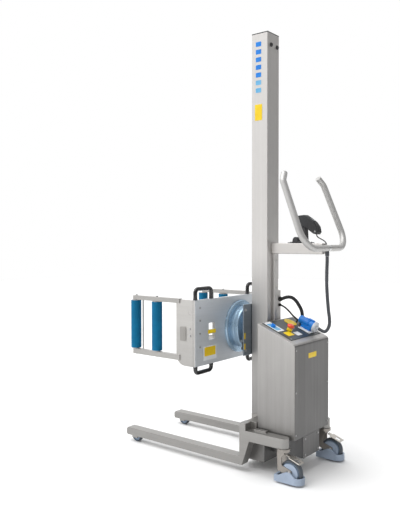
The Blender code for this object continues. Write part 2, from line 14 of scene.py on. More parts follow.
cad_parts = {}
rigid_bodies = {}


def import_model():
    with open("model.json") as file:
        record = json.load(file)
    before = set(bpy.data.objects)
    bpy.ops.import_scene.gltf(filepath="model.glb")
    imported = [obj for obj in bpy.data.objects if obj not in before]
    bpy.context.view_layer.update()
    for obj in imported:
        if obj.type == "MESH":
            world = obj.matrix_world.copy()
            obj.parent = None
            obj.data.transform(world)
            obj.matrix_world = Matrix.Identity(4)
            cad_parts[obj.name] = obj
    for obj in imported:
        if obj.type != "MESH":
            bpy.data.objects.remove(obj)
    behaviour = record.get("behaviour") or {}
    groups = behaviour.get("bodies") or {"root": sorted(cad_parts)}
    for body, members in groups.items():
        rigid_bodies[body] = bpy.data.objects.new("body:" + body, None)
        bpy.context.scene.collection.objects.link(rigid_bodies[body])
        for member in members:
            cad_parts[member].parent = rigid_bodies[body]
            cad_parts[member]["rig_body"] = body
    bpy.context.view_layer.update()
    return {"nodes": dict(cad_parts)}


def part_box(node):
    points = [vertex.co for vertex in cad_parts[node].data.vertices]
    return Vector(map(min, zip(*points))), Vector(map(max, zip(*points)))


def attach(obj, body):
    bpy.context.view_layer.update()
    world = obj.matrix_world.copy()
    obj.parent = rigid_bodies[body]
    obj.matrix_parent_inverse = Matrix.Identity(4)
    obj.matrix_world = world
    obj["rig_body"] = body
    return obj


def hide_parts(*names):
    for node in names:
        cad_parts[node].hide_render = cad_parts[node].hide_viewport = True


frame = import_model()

mast_low, mast_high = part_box("mast_column")
MAST = (mast_low + mast_high) / 2

X, Y, Z = 0, 1, 2
SLOPE = math.atan(0.4176)                 # fall of the cabinet's top
CAB_FRONT, CAB_HIGH = 0.0735, 0.8115      # upper edge of that slope
PLATE_REAR, PLATE_FRONT = -0.1770, -0.1923
PLATE_LEFT, PLATE_RIGHT = 0.4224, -0.2400
ARM_MID_X = (PLATE_LEFT + PLATE_RIGHT) / 2
TURN_Z = 0.758
ROLLER_X, RAIL_FRONT = 0.409, -0.642
ROLLER_YS = {"front": -0.634, "rear": -0.4685}
SCREW_Y, SCREW_Z = -0.2120, 0.870
LEG_X = 0.230


def at(x, y, z):
    """From coordinates around the mast to the object's frame."""
    return Vector((x + MAST.x, y + MAST.y, z))


def slope_point(x, along, height):
    """A point on the cabinet's top: distance down the slope and height above it, around the mast."""
    y = CAB_FRONT + along * math.cos(SLOPE) + height * math.sin(SLOPE)
    z = CAB_HIGH - along * math.sin(SLOPE) + height * math.cos(SLOPE)
    return x, y, z


# ---------------------------------------------------------------- camera

def make_camera():
    """Behind the machine's left side, a little above the handlebar's lower tube."""
    azimuth, pitch, roll = math.radians(128.662), math.radians(1.561), math.radians(-0.091)
    data = bpy.data.cameras.new("camera")
    data.sensor_fit = "AUTO"
    data.sensor_width = 36.0
    data.lens = 43.594
    camera = bpy.data.objects.new("camera", data)
    bpy.context.scene.collection.objects.link(camera)
    forward = Vector((-math.sin(azimuth) * math.cos(pitch), math.cos(azimuth) * math.cos(pitch),
                      -math.sin(pitch)))
    camera.rotation_mode = "QUATERNION"
    camera.rotation_quaternion = forward.to_track_quat("-Z", "Y") @ Quaternion((0, 0, 1), roll)
    camera.location = at(3.0166, 1.9333, 1.272)
    bpy.context.scene.camera = camera


# ---------------------------------------------------------------- materials

def new_material(name, roughness, metallic=0.0, coat=0.0):
    material = bpy.data.materials.new(name)
    material.use_nodes = True
    shader = material.node_tree.nodes["Principled BSDF"]
    shader.inputs["Roughness"].default_value = roughness
    shader.inputs["Metallic"].default_value = metallic
    shader.inputs["Coat Weight"].default_value = coat
    return material


def coordinates(tree, stretch=(1.0, 1.0, 1.0)):
    source = tree.nodes.new("ShaderNodeTexCoord")
    mapping = tree.nodes.new("ShaderNodeMapping")
    mapping.inputs["Scale"].default_value = stretch
    tree.links.new(source.outputs["Object"], mapping.inputs["Vector"])
    return mapping.outputs["Vector"]


def noise(tree, vector, scale, detail=3.0, roughness=0.55):
    texture = tree.nodes.new("ShaderNodeTexNoise")
    texture.inputs["Scale"].default_value = scale
    texture.inputs["Detail"].default_value = detail
    texture.inputs["Roughness"].default_value = roughness
    tree.links.new(vector, texture.inputs["Vector"])
    return texture.outputs["Fac"]


def ranged(tree, value, low, high, to_low=0.0, to_high=1.0):
    node = tree.nodes.new("ShaderNodeMapRange")
    for socket, number in (("From Min", low), ("From Max", high), ("To Min", to_low), ("To Max", to_high)):
        node.inputs[socket].default_value = number
    tree.links.new(value, node.inputs["Value"])
    return node.outputs["Result"]


def combined(tree, one, two, operation="ADD"):
    node = tree.nodes.new("ShaderNodeMath")
    node.operation = operation
    for socket, value in zip(node.inputs, (one, two)):
        if isinstance(value, float):
            socket.default_value = value
        else:
            tree.links.new(value, socket)
    return node.outputs["Value"]


def tinted(tree, value, dark, light):
    node = tree.nodes.new("ShaderNodeMix")
    node.data_type = "RGBA"
    node.inputs[6].default_value = (*dark, 1.0)
    node.inputs[7].default_value = (*light, 1.0)
    tree.links.new(value, node.inputs[0])
    return node.outputs[2]


def set_bump(tree, height, strength, distance):
    node = tree.nodes.new("ShaderNodeBump")
    node.inputs["Strength"].default_value = strength
    node.inputs["Distance"].default_value = distance
    tree.links.new(height, node.inputs["Height"])
    tree.links.new(node.outputs["Normal"], shader_of(tree).inputs["Normal"])


def shader_of(tree):
    return tree.nodes["Principled BSDF"]


def brushed(name, dark, light, grain, roughness=(0.34, 0.50), metallic=0.86, low_shade_tone=1.0, relief=0.12):
    """Brushed stainless sheet: fine streaks along one axis, and faint clouds of handling marks.

    The steel keeps only part of its brightness near the floor: painted shade darkens it towards the bottom,
    down to the given low tone.
    """
    material = new_material(name, 0.4, metallic)
    tree = material.node_tree
    across, along, haze = 620.0, 9.0, 2.6
    stretch = [across] * 3
    stretch[grain] = along
    streaks = noise(tree, coordinates(tree, stretch), 1.0, 4.0, 0.6)
    bands = noise(tree, coordinates(tree, [s / 16 for s in stretch]), 1.0, 2.0)
    clouds = noise(tree, coordinates(tree), haze, 4.0)
    marks = combined(tree, combined(tree, streaks, bands), clouds)
    marks = ranged(tree, marks, 0.95, 2.05)
    shader = shader_of(tree)
    colour = tinted(tree, marks, dark, light)
    # Painted shade: the colour darkens towards the floor, standing in for the dimmer light low down.
    if low_shade_tone < 1.0:
        split = tree.nodes.new("ShaderNodeSeparateXYZ")
        tree.links.new(coordinates(tree), split.inputs["Vector"])
        shaded_below, unshaded_above = 0.16, 1.20
        height = ranged(tree, split.outputs["Z"], shaded_below, unshaded_above)
        low_shade = tree.nodes.new("ShaderNodeMix")
        low_shade.data_type = "RGBA"
        low_shade.blend_type = "MULTIPLY"
        low_shade.inputs[0].default_value = 1.0
        tree.links.new(colour, low_shade.inputs[6])
        tree.links.new(tinted(tree, height, (low_shade_tone,) * 3, (1.0,) * 3), low_shade.inputs[7])
        colour = low_shade.outputs[2]
    tree.links.new(colour, shader.inputs["Base Color"])
    tree.links.new(ranged(tree, marks, 0.0, 1.0, roughness[1], roughness[0]), shader.inputs["Roughness"])
    set_bump(tree, streaks, relief, 0.0002)
    return material


def turned_steel(name, dark, light, axis, roughness=(0.12, 0.28), metallic=1.0):
    """Machined steel with the fine rings that a lathe leaves round the piece's own axis."""
    material = new_material(name, 0.2, metallic)
    tree = material.node_tree
    flat = [1.0] * 3
    flat[axis] = 0.0
    length = tree.nodes.new("ShaderNodeVectorMath")
    length.operation = "LENGTH"
    tree.links.new(coordinates(tree, flat), length.inputs[0])
    rings = tree.nodes.new("ShaderNodeTexNoise")
    rings.noise_dimensions = "1D"
    rings.inputs["Scale"].default_value = 900.0
    rings.inputs["Detail"].default_value = 3.0
    tree.links.new(length.outputs["Value"], rings.inputs["W"])
    clouds = noise(tree, coordinates(tree), 7.0, 3.0)
    marks = ranged(tree, combined(tree, rings.outputs["Fac"], clouds), 0.7, 1.3)
    shader = shader_of(tree)
    tree.links.new(tinted(tree, marks, dark, light), shader.inputs["Base Color"])
    tree.links.new(ranged(tree, marks, 0.0, 1.0, roughness[1], roughness[0]), shader.inputs["Roughness"])
    set_bump(tree, rings.outputs["Fac"], 0.12, 0.0002)
    return material


def moulded(name, dark, light, roughness=(0.38, 0.52), grain=900.0, depth=0.0002, coat=0.0, strength=0.25):
    """Moulded plastic or rubber: a fine surface texture, and a slow change of tone from handling."""
    material = new_material(name, 0.45, coat=coat)
    tree = material.node_tree
    fine = noise(tree, coordinates(tree), grain, 2.0)
    slow = noise(tree, coordinates(tree), 14.0, 4.0)
    tone = ranged(tree, combined(tree, combined(tree, fine, 0.4, "MULTIPLY"), slow), 0.50, 0.90)
    shader = shader_of(tree)
    tree.links.new(tinted(tree, tone, dark, light), shader.inputs["Base Color"])
    tree.links.new(ranged(tree, slow, 0.35, 0.65, roughness[0], roughness[1]), shader.inputs["Roughness"])
    set_bump(tree, fine, strength, depth)
    return material


# Steels given a low tone below 1.0 get painted shade towards the floor.
STEEL_UP = brushed("steel_upright", (0.55, 0.535, 0.52), (0.65, 0.635, 0.62), Z, low_shade_tone=0.40)
STEEL_LONG = brushed("steel_lengthwise", (0.55, 0.535, 0.515), (0.64, 0.625, 0.605), Y, low_shade_tone=0.52)
STEEL_WIDE = brushed("steel_crosswise", (0.50, 0.48, 0.455), (0.58, 0.56, 0.535), X, low_shade_tone=0.52)
# Darker steels for painted shade on faces turned away from the light.
STEEL_REAR_SHADE = brushed("steel_rear_painted_shade", (0.18, 0.178, 0.175), (0.235, 0.232, 0.23), Z, (0.42, 0.56),
                     low_shade_tone=0.8)
STEEL_SHADED = brushed("steel_shaded", (0.13, 0.13, 0.13), (0.165, 0.165, 0.165), Z, (0.45, 0.58))
STEEL_BEAM = brushed("steel_beam", (0.55, 0.53, 0.51), (0.64, 0.62, 0.60), Y)
STEEL_RAIL = brushed("steel_rail", (0.36, 0.35, 0.335), (0.44, 0.43, 0.415), Y)
STEEL_PLATE = brushed("steel_plate", (0.62, 0.65, 0.68), (0.71, 0.74, 0.77), X, (0.40, 0.54), 0.55)
STEEL_TUBE = brushed("steel_tube", (0.48, 0.475, 0.465), (0.51, 0.505, 0.495), Z, (0.46, 0.48), 0.70,
                     relief=0.01)
STEEL_DARK = brushed("steel_dark", (0.30, 0.29, 0.275), (0.38, 0.365, 0.35), Z, (0.38, 0.50))
CARRIAGE = brushed("steel_blue_grey", (0.200, 0.235, 0.275), (0.260, 0.300, 0.345), X, (0.30, 0.42), 0.8)
FORGED = brushed("steel_fork", (0.26, 0.24, 0.22), (0.36, 0.335, 0.31), Z, (0.26, 0.40), 0.9)
PEDAL = brushed("steel_pedal", (0.42, 0.395, 0.36), (0.54, 0.51, 0.47), X, (0.24, 0.36), 0.9)
DISC = turned_steel("steel_disc", (0.32, 0.45, 0.58), (0.40, 0.55, 0.69), Y, (0.22, 0.34), 0.6)
SHAFT = turned_steel("steel_shaft", (0.50, 0.51, 0.52), (0.72, 0.73, 0.74), X)
SCREW_METAL = turned_steel("steel_screw", (0.40, 0.40, 0.40), (0.56, 0.56, 0.56), Z, (0.28, 0.40))
BLACK = moulded("plastic_black", (0.012, 0.012, 0.013), (0.030, 0.030, 0.033))
GLOSS = moulded("plastic_gloss_black", (0.008, 0.008, 0.009), (0.018, 0.018, 0.020), (0.16, 0.26), 420.0,
                0.0001, 0.3, 0.12)
PENDANT = moulded("plastic_pendant", (0.010, 0.010, 0.011), (0.022, 0.023, 0.025), (0.52, 0.66))
LAMINATE = moulded("laminate_dark", (0.012, 0.018, 0.020), (0.034, 0.046, 0.050), (0.28, 0.42), 1500.0)
TEAL = moulded("sleeve_teal", (0.0, 0.105, 0.215), (0.0, 0.155, 0.315), (0.60, 0.72), 700.0, 0.0003)
shader_of(TEAL.node_tree).inputs["Specular IOR Level"].default_value = 0.2
GUARD = moulded("guard_blue_grey", (0.27, 0.33, 0.42), (0.36, 0.43, 0.54), (0.40, 0.56))
HUB = moulded("hub_blue_grey", (0.18, 0.25, 0.35), (0.26, 0.35, 0.47), (0.34, 0.48))
TYRE = moulded("tyre_dark", (0.050, 0.060, 0.075), (0.090, 0.105, 0.125), (0.55, 0.72), 600.0, 0.0004)
BLUE = moulded("plastic_blue", (0.0, 0.155, 0.58), (0.0, 0.22, 0.72), (0.26, 0.40))
LIGHT_BLUE = moulded("plate_light_blue", (0.10, 0.36, 0.62), (0.17, 0.47, 0.74), (0.30, 0.44))
DARK_GREY = moulded("plastic_dark_grey", (0.075, 0.080, 0.086), (0.115, 0.120, 0.128))
PALE = moulded("plastic_pale", (0.50, 0.53, 0.57), (0.66, 0.69, 0.73), (0.34, 0.48))
WHITE = moulded("plate_white", (0.70, 0.72, 0.74), (0.84, 0.86, 0.88), (0.30, 0.44))
YELLOW = moulded("plate_yellow", (0.76, 0.50, 0.0), (0.90, 0.66, 0.01), (0.34, 0.48))
RED = moulded("plastic_red", (0.72, 0.055, 0.012), (0.88, 0.09, 0.02), (0.24, 0.36), coat=0.2)
RUBBER = moulded("rubber_black", (0.008, 0.008, 0.009), (0.022, 0.022, 0.024), (0.42, 0.58))
CONDUIT = moulded("conduit_grey", (0.040, 0.044, 0.052), (0.072, 0.078, 0.090), (0.40, 0.55))
MOTOR = moulded("motor_paint", (0.050, 0.055, 0.062), (0.085, 0.092, 0.100), (0.36, 0.50), 500.0, 0.0003)


# ---------------------------------------------------------------- shape helpers

def piece(name, data, material, body, replaced=(), pivot=(0, 0, 0), angle=32):
    """A bmesh drawn around the mast becomes an object that rides on a body.

    Its origin, where its texture starts, is at the pivot.
    """
    bmesh.ops.translate(data, vec=-Vector(pivot), verts=data.verts[:])
    bmesh.ops.recalc_face_normals(data, faces=data.faces)
    mesh = bpy.data.meshes.new(name)
    data.to_mesh(mesh)
    data.free()
    mesh.materials.append(material)
    mesh.shade_smooth()
    mesh.set_sharp_from_angle(angle=math.radians(angle))
    obj = bpy.data.objects.new(name, mesh)
    obj.location = at(*pivot)
    bpy.context.scene.collection.objects.link(obj)
    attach(obj, body)
    if replaced:
        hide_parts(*replaced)
    return obj


def joined(*parts):
    """Several bmeshes as one."""
    whole = bmesh.new()
    for data in parts:
        mesh = bpy.data.meshes.new("part")
        data.to_mesh(mesh)
        data.free()
        whole.from_mesh(mesh)
        bpy.data.meshes.remove(mesh)
    return whole


def block(low, high, bevel=0.0, steps=2):
    data = bmesh.new()
    size = [abs(b - a) for a, b in zip(low, high)]
    middle = [(a + b) / 2 for a, b in zip(low, high)]
    bmesh.ops.create_cube(data, size=1.0, matrix=Matrix.Translation(middle) @ Matrix.Diagonal((*size, 1.0)))
    if bevel:
        bmesh.ops.bevel(data, geom=data.edges[:], offset=bevel, segments=steps, affect="EDGES", profile=0.5)
    return data


def rounded_plate(centre, size, axis, corner, thickness, corner_steps=5):
    """A flat plate with round corners, whose face is square to an axis."""
    others = [i for i in (X, Y, Z) if i != axis]
    half_a, half_b = size[0] / 2 - corner, size[1] / 2 - corner
    data = bmesh.new()
    ring = []
    for turn, (sign_a, sign_b) in enumerate(((1, 1), (-1, 1), (-1, -1), (1, -1))):
        for step in range(corner_steps + 1):
            angle = math.pi / 2 * (turn + step / corner_steps)
            co = Vector(centre)
            co[others[0]] += sign_a * half_a + corner * math.cos(angle)
            co[others[1]] += sign_b * half_b + corner * math.sin(angle)
            ring.append(data.verts.new(co))
    face = data.faces.new(ring)
    pushed = bmesh.ops.extrude_face_region(data, geom=[face])
    move = Vector()
    move[axis] = thickness
    raised = [v for v in pushed["geom"] if isinstance(v, bmesh.types.BMVert)]
    bmesh.ops.translate(data, vec=move, verts=raised)
    rims = [e for e in data.edges if abs(e.verts[0].co[axis] - e.verts[1].co[axis]) < 1e-7]
    bmesh.ops.bevel(data, geom=rims, offset=min(abs(thickness) * 0.3, 0.001), segments=1, affect="EDGES")
    return data


def turned(profile, axis, centre, sides=64):
    """A closed profile of (radius, distance along the axis) turned about the axis through centre."""
    data = bmesh.new()
    others = [i for i in (X, Y, Z) if i != axis]
    rings = []
    for step in range(sides):
        angle = 2 * math.pi * step / sides
        ring = []
        for radius, along in profile:
            co = Vector(centre)
            co[axis] += along
            co[others[0]] += radius * math.cos(angle)
            co[others[1]] += radius * math.sin(angle)
            ring.append(data.verts.new(co))
        rings.append(ring)
    for one, two in zip(rings, rings[1:] + rings[:1]):
        for i in range(len(profile)):
            j = (i + 1) % len(profile)
            data.faces.new((one[i], one[j], two[j], two[i]))
    bmesh.ops.remove_doubles(data, verts=data.verts[:], dist=1e-7)
    return data


def softened(profile, radius, steps=3):
    """The same closed profile with its corners rounded, apart from those on the axis."""
    points = []
    count = len(profile)
    for i, (r, a) in enumerate(profile):
        here = Vector((r, a))
        before, after = Vector(profile[i - 1]), Vector(profile[(i + 1) % count])
        reach = min(radius, (before - here).length * 0.45, (after - here).length * 0.45)
        if r < 1e-6 or reach < 1e-6:
            points.append((r, a))
            continue
        start = here + (before - here).normalized() * reach
        end = here + (after - here).normalized() * reach
        for step in range(steps + 1):
            t = step / steps
            co = (1 - t) ** 2 * start + 2 * t * (1 - t) * here + t ** 2 * end
            points.append((co.x, co.y))
    return points


def bolt(centre, axis, direction, radius, kind="hex"):
    """A bolt head on its washer, standing out from a face: hex, or round with a socket."""
    washer = turned(softened([(0, 0), (radius * 1.45, 0), (radius * 1.45, radius * 0.22), (0, radius * 0.22)],
                             radius * 0.08, 2), axis, (0, 0, 0), 24)
    if kind == "hex":
        head = turned([(0, 0.2 * radius), (radius * 1.05, 0.2 * radius), (radius * 1.05, 0.85 * radius),
                       (radius * 0.92, radius), (0, radius)], axis, (0, 0, 0), 6)
    else:
        head = turned(softened([(0, 0.2 * radius), (radius, 0.2 * radius), (radius, 0.95 * radius),
                                (radius * 0.5, radius * 1.05), (radius * 0.5, 0.55 * radius),
                                (0, 0.55 * radius)], radius * 0.12, 2), axis, (0, 0, 0), 24)
    data = joined(washer, head)
    if direction < 0:
        flip = [1.0, 1.0, 1.0]
        flip[axis] = -1.0
        bmesh.ops.scale(data, vec=flip, verts=data.verts[:])
    bmesh.ops.translate(data, vec=Vector(centre), verts=data.verts[:])
    return data


def bolts(name, centres, axis, direction, radius, body, material=SCREW_METAL, kind="hex"):
    heads = joined(*(bolt(c, axis, direction, radius, kind) for c in centres))
    return piece(name, heads, material, body)


def on_slope(data, x=0.0, along=0.0, height=0.0):
    """Lays a bmesh drawn in (x, distance down the slope, height above it) on the cabinet's top."""
    matrix = (Matrix.Translation((0, CAB_FRONT, CAB_HIGH)) @ Matrix.Rotation(-SLOPE, 4, "X")
              @ Matrix.Translation((x, along, height)))
    bmesh.ops.transform(data, matrix=matrix, verts=data.verts[:])
    return data


def finished(node, material, width=0.0012, body=None, segments=2):
    """The CAD node's own shape with its sharp edges eased, as folded and ground steel has them."""
    source = frame["nodes"][node]
    data = bmesh.new()
    data.from_mesh(source.data)
    bmesh.ops.remove_doubles(data, verts=data.verts[:], dist=1e-6)
    bmesh.ops.dissolve_limit(data, angle_limit=math.radians(0.5), verts=data.verts[:], edges=data.edges[:])
    bmesh.ops.translate(data, vec=-at(0, 0, 0), verts=data.verts[:])
    obj = piece(node + "_finished", data, material, body or source["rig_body"], (node,), angle=30)
    bevel = obj.modifiers.new("eased_edges", "BEVEL")
    bevel.width = width
    bevel.segments = segments
    bevel.limit_method = "ANGLE"
    bevel.angle_limit = math.radians(30)
    bevel.use_clamp_overlap = True
    obj.data.shade_smooth()
    weighted = obj.modifiers.new("flat_faces", "WEIGHTED_NORMAL")
    weighted.weight = 60
    return obj


def paint_face_shade(obj, also_shade_left=False):
    """Paints shade: a darker, duller steel on faces turned to the operator, and on left faces where asked."""
    obj.data.materials.append(STEEL_REAR_SHADE)
    obj.data.materials.append(STEEL_SHADED)
    for face in obj.data.polygons:
        if face.normal.y > 0.9:
            face.material_index = 1
        elif also_shade_left and face.normal.x > 0.9:
            face.material_index = 2


# ---------------------------------------------------------------- cords

def smooth_route(route, spacing):
    """Points at an even spacing along a smooth curve through the route's own points."""
    route = [Vector(point) for point in route]
    ends = [2 * route[0] - route[1]] + route + [2 * route[-1] - route[-2]]
    fine = []
    for a, b, c, d in zip(ends, ends[1:], ends[2:], ends[3:]):
        for step in range(20):
            t = step / 20
            fine.append(0.5 * (2 * b + (c - a) * t + (2 * a - 5 * b + 4 * c - d) * t ** 2
                               + (3 * b - a - 3 * c + d) * t ** 3))
    fine.append(route[-1])
    total = sum((q - p).length for p, q in zip(fine, fine[1:]))
    count = max(2, round(total / spacing))
    points, walked, wanted = [fine[0]], 0.0, total / count
    for p, q in zip(fine, fine[1:]):
        length = (q - p).length
        while walked + length >= wanted * len(points) and len(points) < count:
            points.append(p.lerp(q, (wanted * len(points) - walked) / length))
        walked += length
    return points + [fine[-1]]


def tube(name, points, radius, material, body, replaced=(), resolution=6):
    """A smooth round tube or cord with closed ends, through points around the mast."""
    curve = bpy.data.curves.new(name, "CURVE")
    curve.dimensions = "3D"
    curve.bevel_depth = radius
    curve.bevel_resolution = resolution
    curve.use_fill_caps = True
    spline = curve.splines.new("POLY")
    spline.points.add(len(points) - 1)
    for knot, point in zip(spline.points, points):
        knot.co = (*at(*point), 1.0)
    curve.materials.append(material)
    obj = bpy.data.objects.new(name, curve)
    bpy.context.scene.collection.objects.link(obj)
    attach(obj, body)
    if replaced:
        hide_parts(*replaced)
    return obj


def swept(points, radius_at, sides=20):
    """A closed tube whose radius changes with the distance along the points."""
    data = bmesh.new()
    points = [Vector(p) for p in points]
    normal = None
    walked, rings = 0.0, []
    for i, point in enumerate(points):
        ahead = (points[min(i + 1, len(points) - 1)] - points[max(i - 1, 0)]).normalized()
        if normal is None:
            normal = ahead.orthogonal().normalized()
        normal = (normal - ahead * normal.dot(ahead)).normalized()
        other = ahead.cross(normal)
        if i:
            walked += (point - points[i - 1]).length
        radius = radius_at(walked)
        rings.append([data.verts.new(point + radius * (normal * math.cos(a) + other * math.sin(a)))
                      for a in (2 * math.pi * k / sides for k in range(sides))])
    for one, two in zip(rings, rings[1:]):
        for k in range(sides):
            data.faces.new((one[k], one[(k + 1) % sides], two[(k + 1) % sides], two[k]))
    data.faces.new(rings[0])
    data.faces.new(rings[-1])
    return data


PENDANT_ROUTE = [(0.0, 0.3290, 1.2960), (0.0, 0.3296, 1.2895), (0.0, 0.3360, 1.2820), (0.0, 0.3480, 1.2750),
                 (0.0, 0.3610, 1.2685), (0.0, 0.3730, 1.2620), (0.0, 0.3830, 1.2535), (0.0, 0.3885, 1.2420)]
PLUG_X, PLUG_HEIGHT = -0.108, 0.0405
CONDUIT_ROUTE = [(0.0, 0.392, 1.1790), (0.0, 0.392, 1.150), (-0.006, 0.387, 1.090), (-0.018, 0.381, 1.020),
                 (-0.040, 0.374, 0.950), (-0.064, 0.368, 0.884), (-0.084, 0.364, 0.835),
                 (-0.096, 0.358, 0.800), (-0.104, 0.344, 0.772), (-0.107, 0.327, 0.756),
                 *(slope_point(PLUG_X, along, PLUG_HEIGHT) for along in (0.2400, 0.2270, 0.2145))]
HOSE_END = (-0.152, 0.158, 0.794)
HOSE_ROUTE = [(-0.0780, 0.0506, 0.9240), (-0.0780, 0.0620, 0.9245), (-0.0900, 0.0800, 0.9330),
              (-0.1030, 0.0930, 0.9360), (-0.1170, 0.1090, 0.9320), (-0.1310, 0.1270, 0.9140),
              (-0.1410, 0.1410, 0.8880), (-0.1490, 0.1540, 0.8570),
              *((HOSE_END[0], HOSE_END[1], HOSE_END[2] + rise) for rise in (0.030, 0.0006))]
SIGNAL_ROUTE = [(-0.0740, 0.0504, 0.8900), (-0.0745, 0.0580, 0.8898), (-0.0790, 0.0680, 0.8850),
                (-0.0880, 0.0840, 0.8730), (-0.1000, 0.1030, 0.8510), (-0.1120, 0.1180, 0.8290),
                *(slope_point(-0.128, 0.063, height) for height in (0.0200, 0.0042))]


def cord_path(route, spacing):
    """The first and last stretch stay straight, square to the face that the cord leaves or meets."""
    return [Vector(route[0]), *smooth_route(route[1:-1], spacing), Vector(route[-1])]


def make_cord(node, route, diameter, material, ribs=0.0):
    path = cord_path(route, diameter * 0.5)
    if ribs:
        path = smooth_route(path, ribs / 6)
        depth = 0.0009
        data = swept(path, lambda walked: diameter / 2 - depth / 2
                     + depth / 2 * math.cos(2 * math.pi * walked / ribs))
        obj = piece(node + "_finished", data, material, "chassis", (node,), angle=60)
    else:
        obj = tube(node + "_finished", path, diameter / 2, material, "chassis", (node,))


def make_cords():
    make_cord("pendant_cable", PENDANT_ROUTE, 0.006, RUBBER)
    make_cord("handle_conduit", CONDUIT_ROUTE, 0.019, CONDUIT, ribs=0.0042)
    make_cord("mast_hose", HOSE_ROUTE, 0.020, RUBBER)
    make_cord("signal_cable", SIGNAL_ROUTE, 0.010, RUBBER)


# ---------------------------------------------------------------- base, legs and wheels

def make_base():
    for node in ("left_leg", "right_leg"):
        finished(node, STEEL_LONG, 0.0022, segments=3)
    finished("crossbeam", STEEL_WIDE, 0.0020)
    finished("ballast_box", STEEL_UP, 0.0015)
    # Painted shade: the drive box's rear and left faces get darker steel, the left one as if shaded under the
    # cabinet.
    paint_face_shade(finished("drive_box", STEEL_UP, 0.0015), also_shade_left=True)
    welds = []
    for side in (-1, 1):
        inner = side * (LEG_X - 0.030)
        for y in (0.005, 0.040):
            welds.append(weld(Vector((inner, y, 0.182)), Vector((inner, y, 0.268))))
        welds.append(weld(Vector((inner, 0.008, 0.2705)), Vector((inner, 0.038, 0.2705))))
    piece("base_welds", joined(*welds), STEEL_WIDE, "chassis")
    bolts("drive_box_bolts", [(x, 0.3030, z) for x in (-0.072, 0.072) for z in (0.106, 0.192)], Y, 1, 0.004,
          "chassis", kind="round")
    bolts("ballast_bolts", [(x, -0.045, 0.1778) for x in (-0.15, 0.15)], Z, 1, 0.005, "chassis")


def weld(start, end, radius=0.0022, ripple=0.004):
    """A weld seam: a low bead with even ripples."""
    count = max(8, int((end - start).length / ripple * 4))
    path = [start.lerp(end, i / count) for i in range(count + 1)]
    return swept(path, lambda walked: radius * (0.82 + 0.18 * math.cos(2 * math.pi * walked / ripple)), 10)


def make_front_wheels():
    for side, word in ((1, "left"), (-1, "right")):
        node = word + "_front_wheel"
        centre = (side * LEG_X, -0.800, 0.0375)
        tread = softened([(0.030, -0.0140), (0.0350, -0.0140), (0.0375, -0.0105), (0.0375, 0.0105),
                          (0.0350, 0.0140), (0.030, 0.0140)], 0.0012)
        hub = softened([(0.0068, -0.0138), (0.0125, -0.0138), (0.0140, -0.0090), (0.0270, -0.0090),
                        (0.0290, -0.0130), (0.0302, -0.0130), (0.0302, 0.0130), (0.0290, 0.0130),
                        (0.0270, 0.0090), (0.0140, 0.0090), (0.0125, 0.0138), (0.0068, 0.0138)], 0.0008)
        piece(node + "_tread", turned(tread, X, centre), TYRE, node, (node,), centre)
        piece(node + "_hub", turned(hub, X, centre), HUB, node, pivot=centre)


def make_caster(side, word):
    x, stem_y, wheel_y, wheel_z = side * LEG_X, 0.262, 0.312, 0.0625
    swivel, wheel = word + "_swivel", word + "_rear_wheel"
    hub_centre = (x, wheel_y, wheel_z)
    finished(word + "_caster_fork", FORGED, 0.0012)
    finished(word + "_toe_guard", GUARD, 0.0022, segments=3)
    finished(word + "_brake_pedal", PEDAL, 0.0010)
    tyre = softened([(0.0500, -0.0158), (0.0575, -0.0158), (0.0618, -0.0105), (0.0625, -0.0040),
                     (0.0625, 0.0040), (0.0618, 0.0105), (0.0575, 0.0158), (0.0500, 0.0158)], 0.0025, 4)
    piece(word + "_caster_tyre", turned(tyre, X, hub_centre, 72), TYRE, wheel, (word + "_caster_wheel",),
          hub_centre)
    body = softened([(0.0060, -0.0190), (0.0150, -0.0190), (0.0175, -0.0150), (0.0300, -0.0165),
                     (0.0440, -0.0105), (0.0475, -0.0150), (0.0505, -0.0150), (0.0505, 0.0150),
                     (0.0475, 0.0150), (0.0440, 0.0105), (0.0300, 0.0165), (0.0175, 0.0150),
                     (0.0150, 0.0190), (0.0060, 0.0190)], 0.0015)
    piece(word + "_caster_hub", turned(body, X, hub_centre, 72), HUB, wheel, pivot=hub_centre)
    covers = [turned(softened([(0.0082, a), (0.0470, a), (0.0470, b), (0.0082, b)], 0.0008), X, hub_centre)
              for a, b in ((-0.0222, -0.0196), (0.0196, 0.0222))]
    piece(word + "_wheel_covers", joined(*covers), GUARD, swivel)
    axle = softened([(0, -0.031), (0.0050, -0.031), (0.0050, 0.031), (0, 0.031)], 0.0008)
    piece(word + "_caster_axle_finished", turned(axle, X, hub_centre), SHAFT, swivel,
          (word + "_caster_axle",), hub_centre)
    for end, direction in (("out", 1), ("in", -1)):
        nut = (x + direction * 0.0266, wheel_y, wheel_z)
        bolts(f"{word}_axle_nut_{end}", [nut], X, direction, 0.0078, swivel)
    race = softened([(0, 0.1640), (0.0300, 0.1640), (0.0335, 0.1675), (0.0335, 0.1755), (0.0270, 0.1772),
                     (0, 0.1772)], 0.001)
    piece(word + "_swivel_race", turned(race, Z, (x, stem_y, 0), 48), BLACK, swivel)


# ---------------------------------------------------------------- mast and lift

def thread(radius, depth, pitch, axis, centre, start, end, sides=16, per_turn=6):
    """A round bar with a screw thread cut into it."""
    data = bmesh.new()
    others = [i for i in (X, Y, Z) if i != axis]
    count = round((end - start) / pitch * per_turn)
    rings = []
    for row in range(count + 1):
        along = start + (end - start) * row / count
        ring = []
        for k in range(sides):
            angle = 2 * math.pi * k / sides
            phase = (along / pitch - k / sides) % 1.0
            r = radius - depth * (0.5 + 0.5 * math.cos(2 * math.pi * phase))
            co = Vector(centre)
            co[axis] = along
            co[others[0]] += r * math.cos(angle)
            co[others[1]] += r * math.sin(angle)
            ring.append(data.verts.new(co))
        rings.append(ring)
    for one, two in zip(rings, rings[1:]):
        for k in range(sides):
            data.faces.new((one[k], one[(k + 1) % sides], two[(k + 1) % sides], two[k]))
    data.faces.new(rings[0])
    data.faces.new(rings[-1])
    return data


